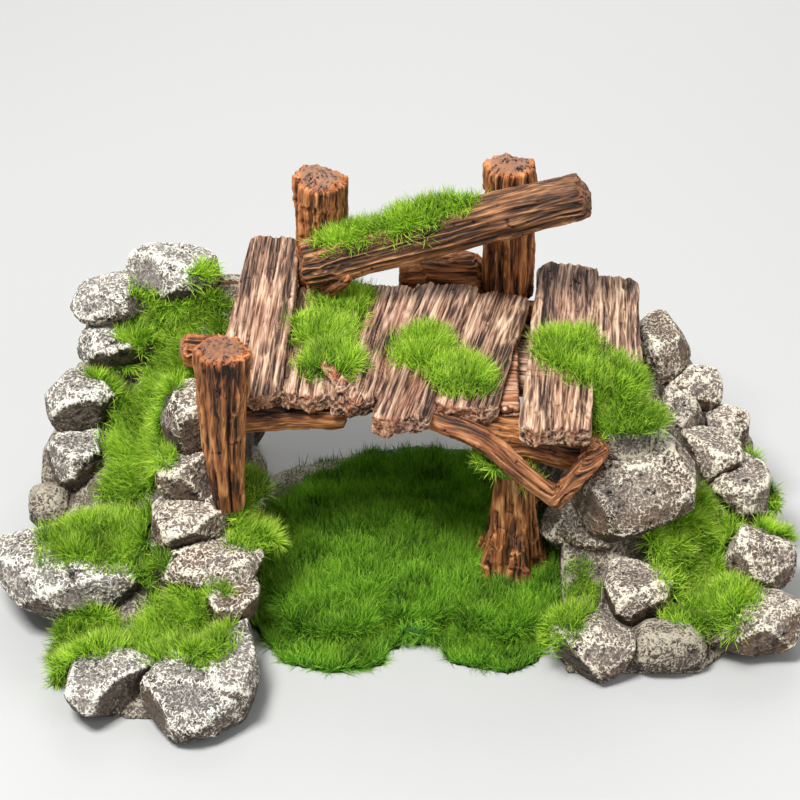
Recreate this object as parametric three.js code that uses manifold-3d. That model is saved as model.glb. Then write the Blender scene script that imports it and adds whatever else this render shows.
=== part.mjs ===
// A cast resin cave ornament for an aquarium: a ruined plank footbridge on two stone abutments.
// The opening under the deck is the swim-through cave. Millimetres, +Z up, X along the bridge and
// +Y towards the handrail. The ornament rests on Z = 0. Pieces are bonded with a hairline gap.
import * as THREE from "three";
import { mergeVertices } from "three/addons/utils/BufferGeometryUtils.js";
import Module from "manifold-3d";

const wasm = await Module();
wasm.setup();

// Driving dimensions
const GAP = 0.5; // how far a piece's cutter stands off its surface
const WELD = 1e-4; // vertices closer than this are one vertex
const SAME_FACING = 0.98; // two faces whose normals agree this well count as one facing
const LEAST_LEAN = 0.4; // limits how far a sharp corner of a cutter moves out
const SLAB_TOP = 3; // thickness of the floor plate
const DECK_TOP = 52; // walking surface at the middle of the deck
const DECK_FALL = 0.035; // how much the deck drops for each millimetre to the right
const PLANK_THICKNESS = 4.2;
const BED_THICKNESS = 2.2; // of the board under the planks
const BED_CLEARANCE = 1.2; // between the planks and that board
const BED_ROLL = 2; // degrees, so that it follows the deck's fall
const RAIL_RADIUS = 5.3; // at the handrail's broken left end
const BEAM_RADIUS = 4; // of the beam behind the deck
const MOSS_THICKNESS = 2.4;
const MOSS_CLEARANCE = 0.5; // how far a pad's underside clears what it grows on
const MOSS_LAYER = 0.5; // each further patch of a pad lies this much higher than the last
const MOSS_DROP = 6; // how far a pad may climb or hang from the height at its middle
const MOSS_AROUND = 12; // corners round a moss pad
const MOSS_RINGS = 4; // rows of its mesh from top to bottom
const STONE_SQUARENESS = 3; // 2 is an ellipsoid, higher is boxier
const STONE_FACETS = 9; // flats chipped off each stone
const FLAT_SWING = 7; // radians that their directions are drawn from, a little over a full turn
const FLAT_DEPTHS = [0.8, 1]; // how near a stone's middle its flats lie, as shares of its half size
const STONE_SWELL = 1.12; // stones are set this much oversize, so that they crowd their neighbours
const STONE_DETAIL = 1; // subdivision of a stone's mesh
const LOG_SIDES = 9;
const TWIG_SIDES = 6;
const LOG_BUMP = 0.07; // how far a log's corners wander, as a share of its radius
const PLANK_TEETH = 5; // broken tips along each end of a plank
const PLANK_RECESS = 0.4; // how far a gap between two tips may reach the other way, as a share of ragged
const PLANK_WAISTS = [0.3, 0.65]; // where a plank's long sides are notched, as shares of its length
const OUTLINE_WAVES = [2, 3, 5]; // ripples round a wobbly outline
const DRAPE_SPREAD = 2.4; // how far apart the drape rays stand
const HILL_STEPS = 4; // rows of a hillside's mesh from its inner to its outer edge
const HILL_CREST = 0.35; // share of that way before its height starts to fall
const SKY = 200; // height above everything, where the drape rays start
const PLATE_CORNERS = 28;
const ROOT_ROWS = 5; // rows of the root's mesh from foot to top
const ROOT_FLARE = 2.2; // how late the root spreads towards its foot: higher is later
const ROOT_RIDGES = [0.35, 0.06]; // depth of its ridges at the foot and the top, as shares of its radius

const looks = {
  greyStone: { color: 0x8f8b86, roughness: 0.85 },
  paleStone: { color: 0xb3aea2, roughness: 0.85 },
  brownStone: { color: 0x776352, roughness: 0.85 },
  fill: { color: 0x5a4c40, roughness: 0.9 },
  deckWood: { color: 0x8f6a58, roughness: 0.6 },
  logWood: { color: 0x8a5230, roughness: 0.55 },
  orangeWood: { color: 0xb8683a, roughness: 0.55 },
  moss: { color: 0x6fae1e, roughness: 1 },
  shadeMoss: { color: 0x3f7a16, roughness: 1 },
};

const degrees = THREE.MathUtils.degToRad;
const { lerp, clamp } = THREE.MathUtils;
const pieces = [];

// A repeatable stream of numbers from 0 to 1.
function randomFrom(seed) {
  const factor = 16807;
  const range = 2147483647;
  const stride = 7919; // keeps the streams of neighbouring seeds apart
  let state = (seed * stride) % range;
  return () => {
    state = (state * factor) % range;
    return state / range;
  };
}

// ---- Solids: a three.js geometry as a closed solid, and back ----

function solidFrom(geometry) {
  const bare = new THREE.BufferGeometry();
  bare.setAttribute("position", geometry.getAttribute("position"));
  bare.setIndex(geometry.getIndex());
  const merged = mergeVertices(bare, WELD);
  const vertProperties = new Float32Array(merged.getAttribute("position").array);
  const triVerts = new Uint32Array(merged.getIndex().array);
  return new wasm.Manifold(new wasm.Mesh({ numProp: 3, vertProperties, triVerts }));
}

function geometryFrom(solid) {
  const { vertProperties, triVerts } = solid.getMesh();
  const geometry = new THREE.BufferGeometry();
  geometry.setAttribute("position", new THREE.BufferAttribute(new Float32Array(vertProperties), 3));
  geometry.setIndex(new THREE.BufferAttribute(new Uint32Array(triVerts), 1));
  geometry.computeVertexNormals();
  return geometry;
}

// The directions in which the faces round each vertex look, each direction once.
function facingsOf(geometry) {
  const position = geometry.getAttribute("position");
  const corners = geometry.getIndex().array;
  const facings = Array.from({ length: position.count }, () => []);
  const face = new THREE.Triangle();
  for (let i = 0; i < corners.length; i += 3) {
    const around = corners.slice(i, i + 3);
    face.setFromAttributeAndIndices(position, ...around);
    const normal = face.getNormal(new THREE.Vector3());
    for (const vertex of around) {
      if (facings[vertex].every((known) => known.dot(normal) < SAME_FACING)) {
        facings[vertex].push(normal);
      }
    }
  }
  return facings;
}

// The same solid grown by the gap, to cut what is bonded against it.
function cutterFrom(solid) {
  const geometry = geometryFrom(solid);
  const position = geometry.getAttribute("position");
  facingsOf(geometry).forEach((facings, i) => {
    const outward = facings.reduce((sum, normal) => sum.add(normal), new THREE.Vector3()).normalize();
    const steepest = Math.min(...facings.map((normal) => normal.dot(outward)));
    outward.multiplyScalar(GAP / Math.max(LEAST_LEAN, steepest));
    outward.add(new THREE.Vector3().fromBufferAttribute(position, i));
    position.setXYZ(i, ...outward);
  });
  return solidFrom(geometry);
}

function touches(a, b) {
  return [0, 1, 2].every((k) => a.min[k] <= b.max[k] && b.min[k] <= a.max[k]);
}

function largestBody(solid) {
  const bodies = solid.decompose();
  return bodies.reduce((best, body) => (body.volume() > best.volume() ? body : best));
}

// Adds a named piece. It gives way to every piece that was added before it.
function addPiece(name, geometries, look) {
  const members = geometries.map(solidFrom);
  let solid = members.reduce((joined, member) => joined.add(member));
  for (const earlier of pieces) {
    if (touches(solid.boundingBox(), earlier.cutter.boundingBox())) {
      solid = largestBody(solid.subtract(earlier.cutter));
    }
  }
  const material = new THREE.MeshStandardMaterial({ ...look, metalness: 0 });
  const mesh = new THREE.Mesh(geometryFrom(solid), material);
  mesh.name = name;
  const cutter = members.map(cutterFrom).reduce((joined, member) => joined.add(member));
  pieces.push({ mesh, cutter });
}

// ---- Shapes ----

function moveVertices(geometry, move) {
  const position = geometry.getAttribute("position");
  const point = new THREE.Vector3();
  for (let i = 0; i < position.count; i += 1) {
    move(point.fromBufferAttribute(position, i));
    position.setXYZ(i, point.x, point.y, point.z);
  }
  return geometry;
}

// A weathered stone: a rounded block with chipped flats, pressed flat where it meets the ground.
function stone({ at, size, turn = [0, 0, 0], seed }) {
  const random = randomFrom(seed);
  const flats = [];
  for (let i = 0; i < STONE_FACETS; i += 1) {
    const tilt = Math.acos(2 * random() - 1);
    const normal = new THREE.Vector3().setFromSphericalCoords(1, tilt, FLAT_SWING * random());
    flats.push(new THREE.Plane(normal, -lerp(...FLAT_DEPTHS, random())));
  }
  const rotation = new THREE.Euler(...turn.map(degrees));
  const half = new THREE.Vector3(...size).multiplyScalar(STONE_SWELL / 2);
  return moveVertices(new THREE.IcosahedronGeometry(1, STONE_DETAIL), (point) => {
    const sum = point.toArray().reduce((total, value) => total + Math.abs(value) ** STONE_SQUARENESS, 0);
    point.divideScalar(sum ** (1 / STONE_SQUARENESS));
    for (const flat of flats) {
      point.addScaledVector(flat.normal, -Math.max(0, flat.distanceToPoint(point)));
    }
    point.multiply(half);
    point.applyEuler(rotation).add(new THREE.Vector3(...at));
    point.z = Math.max(0, point.z);
  });
}

// A value read off a chain of [place, value] pairs, straight between them.
function between(chain, place) {
  const next = chain.findIndex(([at]) => at >= place);
  if (next <= 0) {
    return chain[next === 0 ? 0 : chain.length - 1][1];
  }
  const [[fromAt, fromValue], [toAt, toValue]] = chain.slice(next - 1, next + 1);
  return lerp(fromValue, toValue, (place - fromAt) / (toAt - fromAt));
}

// A hillside of cast fill. ridge gives its side profile as [Y, Z] at the bridge end, where X is inner.
// outer gives the X of its far edge as [Y, X], and shoulder its height there as a share of the ridge's.
function hillside({ ridge, inner, outer, shoulder }) {
  const foot = ridge.slice(1, -1).reverse().map(([y]) => [y, 0]);
  const shape = new THREE.Shape([...ridge, ...foot].map(([y, z]) => new THREE.Vector2(y, z)));
  const geometry = new THREE.ExtrudeGeometry(shape, { depth: 1, steps: HILL_STEPS, bevelEnabled: false });
  return moveVertices(geometry, (point) => {
    const outerX = between(outer, point.x);
    const share = outerX < inner ? 1 - point.z : point.z;
    const height = point.y * lerp(1, shoulder, clamp((share - HILL_CREST) / (1 - HILL_CREST), 0, 1));
    point.set(lerp(inner, outerX, share), point.x, height);
  });
}

// A log: a cylinder bent along a smooth curve, with its own radius at each end and rough ends.
function log({ through, radius, sides = LOG_SIDES, steps = 5, rough = 0.6, seed = 1 }) {
  const random = randomFrom(seed);
  const curve = new THREE.CatmullRomCurve3(through.map((point) => new THREE.Vector3(...point)));
  const frames = curve.computeFrenetFrames(steps, false);
  const wander = Array.from({ length: sides * (steps + 1) }, () => lerp(-1, 1, random()));
  const cylinder = new THREE.CylinderGeometry(1, 1, 1, sides, steps);
  return moveVertices(cylinder, (point) => {
    const along = point.y + 0.5;
    const step = Math.round(along * steps);
    const onAxis = Math.hypot(point.x, point.z) < 0.5;
    const side = Math.round((Math.atan2(point.z, point.x) / (2 * Math.PI)) * sides + sides) % sides;
    const bump = onAxis ? 0 : wander[step * sides + side];
    const reach = lerp(radius[0], radius[1], along) * (1 + LOG_BUMP * bump);
    const centre = curve.getPoint(along);
    centre.addScaledVector(frames.normals[step], point.x * reach);
    centre.addScaledVector(frames.binormals[step], -point.z * reach);
    if (step === 0 || step === steps) {
      const outward = step === 0 ? -1 : 1;
      centre.addScaledVector(frames.tangents[step], outward * rough * (onAxis ? 1 : bump));
    }
    point.copy(centre);
  });
}

// A deck plank: a ragged plan outline with a thickness, pitched about its middle, with its end
// corners worn back. back and front each give the left and right corner and the depth in Y.
function plank(shape) {
  const { back, front, top, pitch = 0, roll = 0, ragged = 1.6, waist = 0.15, seed } = shape;
  const { thickness = PLANK_THICKNESS } = shape;
  const random = randomFrom(seed);
  const [backLeft, backRight, backY] = back;
  const [frontLeft, frontRight, frontY] = front;
  const points = [];
  const rounded = (i) => ragged * (i === 0 || i === PLANK_TEETH ? 1 : 0);
  for (let i = 0; i <= PLANK_TEETH; i += 1) {
    const jag = ragged * lerp(-1, PLANK_RECESS, random()) - rounded(i);
    points.push(new THREE.Vector2(lerp(backLeft, backRight, i / PLANK_TEETH), backY + jag));
  }
  for (const share of PLANK_WAISTS) {
    const x = lerp(backRight, frontRight, share) - waist * random();
    points.push(new THREE.Vector2(x, lerp(backY, frontY, share)));
  }
  for (let i = PLANK_TEETH; i >= 0; i -= 1) {
    const jag = ragged * lerp(-PLANK_RECESS, 1, random()) + rounded(i);
    points.push(new THREE.Vector2(lerp(frontLeft, frontRight, i / PLANK_TEETH), frontY + jag));
  }
  for (const share of PLANK_WAISTS.toReversed()) {
    const x = lerp(backLeft, frontLeft, share) + waist * random();
    points.push(new THREE.Vector2(x, lerp(backY, frontY, share)));
  }
  const plan = new THREE.Shape(points);
  const geometry = new THREE.ExtrudeGeometry(plan, { depth: thickness, bevelEnabled: false });
  const middle = [(backLeft + frontRight) / 2, (backY + frontY) / 2];
  geometry.translate(-middle[0], -middle[1], -thickness);
  geometry.rotateX(degrees(pitch));
  geometry.rotateY(degrees(roll));
  geometry.translate(middle[0], middle[1], top);
  return geometry;
}

function deckHeight(x) {
  return DECK_TOP - DECK_FALL * x;
}

// A wobbly round outline around a centre, as the distance to its edge in each direction.
function outline({ at, reach, turn = 0, wobble = 0.12, seed }) {
  const random = randomFrom(seed);
  const phases = OUTLINE_WAVES.map((waves) => [waves, 2 * Math.PI * random()]);
  return (angle, share) => {
    const ripple = phases.reduce((sum, [waves, phase]) => sum + Math.sin(waves * angle + phase), 0);
    const stretch = share * (1 + (wobble * ripple) / 2);
    const spot = new THREE.Vector2(Math.cos(angle) * reach[0], Math.sin(angle) * reach[1]);
    spot.multiplyScalar(stretch).rotateAround(new THREE.Vector2(), degrees(turn));
    return spot.add(new THREE.Vector2(at[0], at[1]));
  };
}

// The height of the bed's highest surface at a place, averaged over a small neighbourhood.
function drapeHeight(bed, x, y) {
  const ray = new THREE.Raycaster();
  const down = new THREE.Vector3(0, 0, -1);
  const heights = [];
  for (const [dx, dy] of [[0, 0], [1, 0], [-1, 0], [0, 1], [0, -1]]) {
    ray.set(new THREE.Vector3(x + dx * DRAPE_SPREAD, y + dy * DRAPE_SPREAD, SKY), down);
    const [hit] = ray.intersectObjects(bed, false);
    if (hit) {
      heights.push(hit.point.z);
    }
  }
  return heights.length ? heights.reduce((sum, height) => sum + height, 0) / heights.length : 0;
}

// A pad of flock draped over its bed: a flattened ball whose plan is a wobbly outline.
function mossPatch(bed, place, layer) {
  const spotAt = outline(place);
  const { thickness = MOSS_THICKNESS, drop = MOSS_DROP } = place;
  const [, , middle] = place.at;
  const ball = new THREE.SphereGeometry(1, MOSS_AROUND, MOSS_RINGS);
  ball.rotateX(Math.PI / 2);
  return moveVertices(ball, (point) => {
    const share = Math.min(1, Math.hypot(point.x, point.y));
    const spot = spotAt(Math.atan2(point.y, point.x), share);
    const lift = MOSS_CLEARANCE + layer * MOSS_LAYER + (point.z > 0 ? thickness * Math.sqrt(point.z) : 0);
    const height = drapeHeight(bed, spot.x, spot.y);
    point.set(spot.x, spot.y, Math.max(0, clamp(height, middle - drop, middle + drop) + lift));
  });
}

function bedOf(pattern) {
  return pieces.filter(({ mesh }) => pattern.test(mesh.name)).map(({ mesh }) => mesh);
}

function addMoss(name, pattern, patches, look = looks.moss) {
  const bed = bedOf(pattern);
  addPiece(name, patches.map((place, layer) => mossPatch(bed, place, layer)), look);
}

// ---- The floor plate ----

const slabOutline = { at: [1, 19], reach: [42, 33], wobble: 0.05, seed: 5 };

function floorPlate({ at, reach, turn, wobble, seed }, thickness) {
  const spotAt = outline({ at, reach, turn, wobble, seed });
  const points = [];
  for (let i = 0; i < PLATE_CORNERS; i += 1) {
    points.push(spotAt((2 * Math.PI * i) / PLATE_CORNERS, 1));
  }
  return new THREE.ExtrudeGeometry(new THREE.Shape(points), { depth: thickness, bevelEnabled: false });
}

addPiece("base_slab", [floorPlate(slabOutline, SLAB_TOP)], looks.fill);

// ---- Timber: logs under the deck, posts, planks, rail and root ----

const beams = {
  front_beam_left: { through: [[-42, 8, 44], [-28, 9, 45], [-13, 9, 44.5]], radius: [4.2, 3.6], seed: 11 },
  front_beam_right: { through: [[18, 5, 43], [30, 4, 41], [43, 3, 39]], radius: [4.4, 5], seed: 12 },
  middle_beam: { through: [[-49, 30, 47], [-42, 30, 46.5], [-33, 30, 46]], radius: [3.4, 3.4], seed: 13 },
  rear_beam: {
    through: [[-43, 52, 47], [0, 50, 44.5], [50, 49, 42.5]],
    radius: [BEAM_RADIUS, BEAM_RADIUS],
    seed: 14,
  },
};

// Two stubs of split board that stand on the rear beam behind the deck.
function backBoard({ left, right, foot, top, y, seed }) {
  const board = plank({ back: [left, right, top], front: [left, right, foot], top: 0, ragged: 1, seed });
  return board.rotateX(Math.PI / 2).translate(0, y, 0);
}

const boards = [
  backBoard({ left: 0.5, right: 5.5, foot: 42, top: 54.5, y: 53, seed: 15 }),
  backBoard({ left: 5, right: 19.5, foot: 42, top: 56, y: 53.5, seed: 16 }),
];
for (const [name, shape] of Object.entries(beams)) {
  addPiece(name, [log(shape), ...(name === "rear_beam" ? boards : [])], looks.logWood);
}

const posts = {
  front_left_post: {
    through: [[-38.2, -3, 28], [-38.8, -3.5, 48], [-38, -4, 69.5]],
    radius: [4.1, 5.9],
    seed: 21,
  },
  rear_left_post: {
    through: [[-18.4, 51, 49], [-18.3, 51, 64], [-18, 51, 79.5]],
    radius: [5.2, 5.9],
    seed: 22,
  },
  rear_right_post: {
    through: [[25.6, 53, 47], [25.5, 53, 65], [25.2, 53, 82]],
    radius: [5.3, 5.6],
    seed: 23,
  },
};
for (const [name, shape] of Object.entries(posts)) {
  addPiece(name, [log({ ...shape, rough: 1 })], looks.logWood);
}

const handrail = {
  through: [[-21, 43.5, 62], [0, 43, 68], [22, 42.5, 75], [41, 42, 81]],
  radius: [RAIL_RADIUS, 5],
  steps: 8,
  rough: 1,
  seed: 31,
};
addPiece("handrail_log", [log(handrail)], looks.logWood);

const planks = {
  deck_plank_1: {
    back: [-35, -23.8, 59], front: [-41, -26.2, 4], top: 56.5, pitch: 8, seed: 41,
  },
  deck_plank_2: {
    back: [-23.4, -11.6, 51], front: [-26.4, -14.9, 3.5], top: deckHeight(-19), roll: 2, seed: 42,
  },
  deck_plank_3: {
    back: [-12, 3.8, 50], front: [-14.9, -5.2, 1.5], top: deckHeight(-6), seed: 43,
  },
  deck_plank_4: {
    back: [4, 17.6, 50], front: [-6, 5.6, -5], top: deckHeight(5) + 0.6, roll: -2, seed: 44,
  },
  deck_plank_5: {
    back: [17.6, 29.5, 48], front: [6.8, 21, 0], top: deckHeight(19), roll: 2, seed: 45,
  },
  deck_plank_6: {
    back: [33, 46.4, 60], front: [26.5, 41, -8], top: deckHeight(36) + 0.8, roll: 1, seed: 46,
  },
  deck_plank_7: {
    back: [46.4, 55.5, 56], front: [43.4, 54, 19], top: deckHeight(50) + 0.6, roll: 3, seed: 47,
  },
};
const deckSplinter = {
  through: [[-9.5, 2, 51.5], [-13, 6, 54], [-16.5, 10, 56.5]],
  radius: [1.8, 0.9],
  sides: TWIG_SIDES,
  steps: 2,
};
for (const [name, shape] of Object.entries(planks)) {
  const extras = name === "deck_plank_3" ? [log(deckSplinter)] : [];
  addPiece(name, [plank(shape), ...extras], looks.deckWood);
}

// The bed board under the planks, from beam to beam, with the short plank that fills the deck's slot.
const bedBoard = {
  back: [-30, 35, 44.5],
  front: [-29, 29, 14.5],
  top: deckHeight(6) - PLANK_THICKNESS - BED_CLEARANCE,
  roll: BED_ROLL,
  thickness: BED_THICKNESS,
  seed: 48,
};
const shortPlank = { back: [22.6, 26.4, 28], front: [22.4, 26, 4], top: deckHeight(24) - 2.4, seed: 49 };
addPiece("under_deck", [plank(bedBoard), plank(shortPlank)], looks.deckWood);

const railTwig = {
  through: [[-17, 41, 56], [-14.5, 39, 58.5], [-12, 38, 61.5]],
  radius: [1.5, 1],
  sides: TWIG_SIDES,
  steps: 3,
};
addPiece("rail_twig", [log(railTwig)], looks.orangeWood);

const branchLeft = {
  through: [[7, 2, 48], [18, -3.5, 46], [25, -5.5, 40], [34.5, -6.5, 32]],
  radius: [2.6, 1.8],
  sides: TWIG_SIDES,
  steps: 6,
  seed: 33,
};
const branchRight = {
  through: [[34, -6.5, 31.5], [39.5, -5.5, 38], [43.5, -3.5, 45]],
  radius: [1.7, 2.2],
  sides: TWIG_SIDES,
  steps: 3,
  seed: 34,
};
addPiece("curved_branch", [log(branchLeft), log(branchRight)], looks.orangeWood);

// The root: a turned stem that flares into ridged toes at its foot.
function rootLeg({ at, height, topRadius, footRadius, toes }) {
  const profile = [new THREE.Vector2(0, 0)];
  for (let row = 0; row <= ROOT_ROWS; row += 1) {
    const share = row / ROOT_ROWS;
    profile.push(new THREE.Vector2(lerp(topRadius, footRadius, (1 - share) ** ROOT_FLARE), share * height));
  }
  profile.push(new THREE.Vector2(0, height));
  const stem = new THREE.LatheGeometry(profile, 3 * toes);
  stem.rotateX(Math.PI / 2);
  return moveVertices(stem, (point) => {
    const share = point.z / height;
    const ridge = Math.cos(toes * Math.atan2(point.y, point.x));
    const swell = 1 + lerp(...ROOT_RIDGES, share) * ridge;
    point.set(at[0] + point.x * swell, at[1] + point.y * swell, at[2] + point.z);
  });
}

const root = { at: [25.5, 4, SLAB_TOP + 0.4], height: 34, topRadius: 3.6, footRadius: 7.4, toes: 5 };
addPiece("root_leg", [rootLeg(root)], looks.logWood);

// ---- The fill of the two abutments, with the stacked stones of their backs ----

const leftHill = {
  ridge: [
    [-43, 0], [-41, 4], [-24, 8], [-12, 13], [0, 20], [10, 28],
    [26, 38], [42, 49], [54, 52], [59, 30], [60, 0],
  ],
  inner: -36,
  outer: [[-43, -60], [-20, -73], [0, -78], [20, -77], [36, -74], [60, -66]],
  shoulder: 0.4,
};
const rightHill = {
  ridge: [[-28, 0], [-25, 4], [-10, 8], [2, 20], [10, 34], [24, 42], [42, 44], [55, 42], [59, 24], [60, 0]],
  inner: 37,
  outer: [[-28, 66], [-10, 82], [20, 83], [40, 78], [60, 70]],
  shoulder: 0.28,
};
const leftBackStones = [
  { at: [-47, 58, 38], size: [22, 12, 18], seed: 101 },
  { at: [-64, 56, 34], size: [19, 13, 16], seed: 102 },
  { at: [-72, 47, 22], size: [14, 17, 14], seed: 103 },
  { at: [-55, 58, 13], size: [24, 13, 27], seed: 104 },
  { at: [-70, 53, 8], size: [20, 16, 20], seed: 105 },
  { at: [-40, 57, 11], size: [15, 12, 24], seed: 106 },
  { at: [-77, 34, 9], size: [13, 20, 20], seed: 107 },
  { at: [-81.2, 18, 12], size: [8, 11, 9], seed: 108 },
  { at: [-38, 24, 10], size: [12, 26, 20], seed: 109 },
  { at: [-39, 40, 28], size: [13, 24, 16], seed: 110 },
];
const rightBackStones = [
  { at: [48, 57, 32], size: [20, 11, 16], seed: 111 },
  { at: [62, 54, 22], size: [19, 14, 16], seed: 112 },
  { at: [52, 58, 11], size: [22, 12, 24], seed: 113 },
  { at: [69, 52, 8], size: [20, 15, 18], seed: 114 },
  { at: [38, 57, 9], size: [12, 11, 20], seed: 115 },
  { at: [77, 40, 8], size: [13, 16, 18], seed: 116 },
  { at: [87, 25, 8], size: [9, 10, 12], seed: 117 },
  { at: [58.7, -25, 5], size: [16, 10, 9], seed: 118 },
  { at: [39, 30, 11], size: [12, 24, 20], seed: 119 },
  { at: [40, 40, 30], size: [13, 20, 14], seed: 120 },
  { at: [49, 11, 38], size: [16, 20, 17.5], seed: 121 },
];
addPiece("left_core", [hillside(leftHill), ...leftBackStones.map(stone)], looks.fill);
addPiece("right_core", [hillside(rightHill), ...rightBackStones.map(stone)], looks.fill);

// ---- The stones of the abutments ----

const leftStones = [
  { at: [-51.8, 50, 55.2], size: [21, 16, 10], turn: [-8, 6, 0], seed: 201 },
  { at: [-67.2, 48, 49.2], size: [18.5, 15, 10], turn: [-8, -8, 0], seed: 202 },
  { at: [-66.1, 41, 41], size: [17, 14, 8.5], turn: [-5, -4, 0], seed: 203 },
  { at: [-74.8, 34, 30.6], size: [16.5, 16, 12], turn: [-8, -5, 0], seed: 204 },
  { at: [-74.3, 24, 20.5], size: [15, 15, 12], turn: [-10, -5, 0], seed: 205 },
  { at: [-72, -4, 12.3], size: [39, 26, 12], turn: [4, -4, 6], seed: 206 },
  { at: [-63.5, -37, 5.4], size: [20.5, 19, 12], turn: [0, 3, 15], seed: 207 },
  { at: [-45.5, -42.5, 6.6], size: [21, 20, 12.5], turn: [4, 4, -30], seed: 208 },
  { at: [-36.5, -37, 7], size: [10, 28, 14], turn: [0, 0, -8], seed: 209 },
  { at: [-47, 8, 44.5], size: [11, 15, 14], turn: [0, 4, 0], seed: 210 },
  { at: [-47, 3, 32.8], size: [13, 13, 10], turn: [0, 0, 0], seed: 211 },
  { at: [-47, -3, 24.4], size: [17.5, 16, 8], turn: [6, -6, 0], seed: 212 },
  { at: [-42, -10, 18], size: [23, 16, 8], turn: [4, -4, -8], seed: 213 },
  { at: [-37, -19, 12.5], size: [13, 16, 8], turn: [4, -6, -10], seed: 214 },
];
const rightStones = [
  { at: [60.8, 45, 36.8], size: [13, 17, 18], turn: [0, 10, 0], seed: 301 },
  { at: [68.8, 38, 31], size: [13, 11, 8], turn: [-6, 8, 0], seed: 302 },
  { at: [62.1, 30, 30], size: [13, 13, 11], turn: [-8, 0, 0], seed: 303 },
  { at: [76.8, 32, 24], size: [11, 11, 8], turn: [-6, 10, 0], seed: 304 },
  { at: [69.3, 20, 25], size: [16, 14, 10], turn: [-8, 4, 0], seed: 305 },
  { at: [78.1, 15, 18.4], size: [13, 16, 13], turn: [-8, 8, 0], seed: 306 },
  { at: [52.9, 3, 28.3], size: [27, 19, 20], turn: [-8, -8, 10], seed: 307 },
  { at: [42.7, 4, 18.6], size: [20, 16, 14], turn: [0, 8, 0], seed: 308 },
  { at: [81, -2, 11.8], size: [15, 15, 12], turn: [-6, 6, 0], seed: 309 },
  { at: [78.8, -18, 6.5], size: [22, 18, 13], turn: [-4, 6, 12], seed: 310 },
  { at: [52.7, -12, 9.6], size: [17.5, 15, 11], turn: [0, 4, 0], seed: 311 },
  { at: [42.5, -26, 5.9], size: [20, 14, 11.5], turn: [0, 0, -12], seed: 312 },
];

function addStones(side, stones) {
  const tones = [looks.greyStone, looks.paleStone, looks.greyStone, looks.brownStone];
  stones.forEach((place, i) => {
    const number = String(i + 1).padStart(2, "0");
    addPiece(`${side}_stone_${number}`, [stone(place)], tones[i % tones.length]);
  });
}

addStones("left", leftStones);
addStones("right", rightStones);

// ---- Flock moss ----

const rock = /core|stone/;
const floorPatches = [
  { at: [-17, 9, SLAB_TOP], reach: [23, 41], turn: 3, wobble: 0.09, drop: 0, seed: 401 },
  { at: [27, 11, SLAB_TOP], reach: [25, 40], turn: -4, wobble: 0.09, drop: 0, seed: 402 },
  { at: [4, 17, SLAB_TOP], reach: [37, 37], wobble: 0.05, drop: 0, seed: 403 },
];
const mossPads = {
  moss_left_slope: [rock, [
    { at: [-49, 38, 47], reach: [10.5, 14], turn: -8, drop: 10, seed: 411 },
    { at: [-58, 23, 35], reach: [10.5, 12], drop: 10, seed: 412 },
    { at: [-60, 13.5, 27], reach: [9, 8], drop: 10, seed: 413 },
  ]],
  moss_left_ledge: [rock, [{ at: [-67, -4, 19], reach: [13.5, 10.5], seed: 421 }]],
  moss_left_foot: [rock, [
    { at: [-69, -27, 8], reach: [11, 9], seed: 431 },
    { at: [-50.5, -26, 11], reach: [9.5, 9.5], seed: 432 },
    { at: [-42.5, -35, 12], reach: [5.5, 5.5], seed: 433 },
  ]],
  moss_post_foot: [rock, [
    { at: [-33.5, -4, 24], reach: [6.5, 7], seed: 441 },
    { at: [-34, 6, 30], reach: [4, 7], seed: 442 },
  ]],
  moss_deck_left: [/plank/, [
    { at: [-14, 41, DECK_TOP], reach: [6.5, 7], seed: 451 },
    { at: [-17.5, 28, DECK_TOP], reach: [7, 8], seed: 452 },
    { at: [-15, 15, DECK_TOP], reach: [6.5, 7], seed: 453 },
  ]],
  moss_deck_middle: [/plank/, [
    { at: [6, 21, DECK_TOP], reach: [7, 8.5], seed: 461 },
    { at: [13, 12, DECK_TOP], reach: [7.5, 7.5], seed: 462 },
  ]],
  moss_deck_right: [/plank|stone|core/, [
    { at: [38.5, 22, 51], reach: [8, 9], drop: 1, seed: 471 },
    { at: [47, 14, 50], reach: [9, 8], drop: 2, thickness: 3, seed: 472 },
    { at: [50, 5, 46.5], reach: [9, 7.5], drop: 3, thickness: 3, seed: 473 },
  ]],
  moss_rail: [/handrail/, [
    { at: [-12, 43.5, 70], reach: [9, 4.6], seed: 481 },
    { at: [5, 43, 75], reach: [13, 4.4], seed: 482 },
  ]],
  moss_branch: [/branch|root/, [
    { at: [22.5, -2.5, 36.5], reach: [7, 4.5], thickness: 3, drop: 3, seed: 491 },
  ]],
  moss_right_slope: [rock, [
    { at: [65, 1, 14], reach: [12.5, 11], seed: 501 },
    { at: [67, -10, 11], reach: [9, 8], seed: 502 },
    { at: [69, -18, 8], reach: [10, 8], seed: 503 },
  ]],
  moss_right_edge: [rock, [{ at: [81, 15, 12], reach: [7, 8], drop: 3, thickness: 3, seed: 511 }]],
};
addMoss("moss_floor", /slab/, floorPatches, looks.shadeMoss);
for (const [name, [pattern, patches]] of Object.entries(mossPads)) {
  addMoss(name, pattern, patches);
}

// ---- The ornament, centred over its own footprint ----

const ornament = new THREE.Group();
for (const { mesh } of pieces) {
  ornament.add(mesh);
}
const footprint = new THREE.Box3().setFromObject(ornament).getCenter(new THREE.Vector3());
ornament.position.set(-footprint.x, -footprint.y, 0);

export default ornament;
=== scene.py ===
"""Looks of a cast resin cave ornament: a ruined footbridge on two stone abutments, with flock moss.

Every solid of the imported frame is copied, meshed finely and given its surface in mesh code: weathered
stone, split and grooved timber, and standing flock fibres. Working lengths are millimetres, and a piece
is brought to metres when it is finished. Nothing moves, so every piece rides on the one body.
"""

import functools
import itertools
import math

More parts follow.
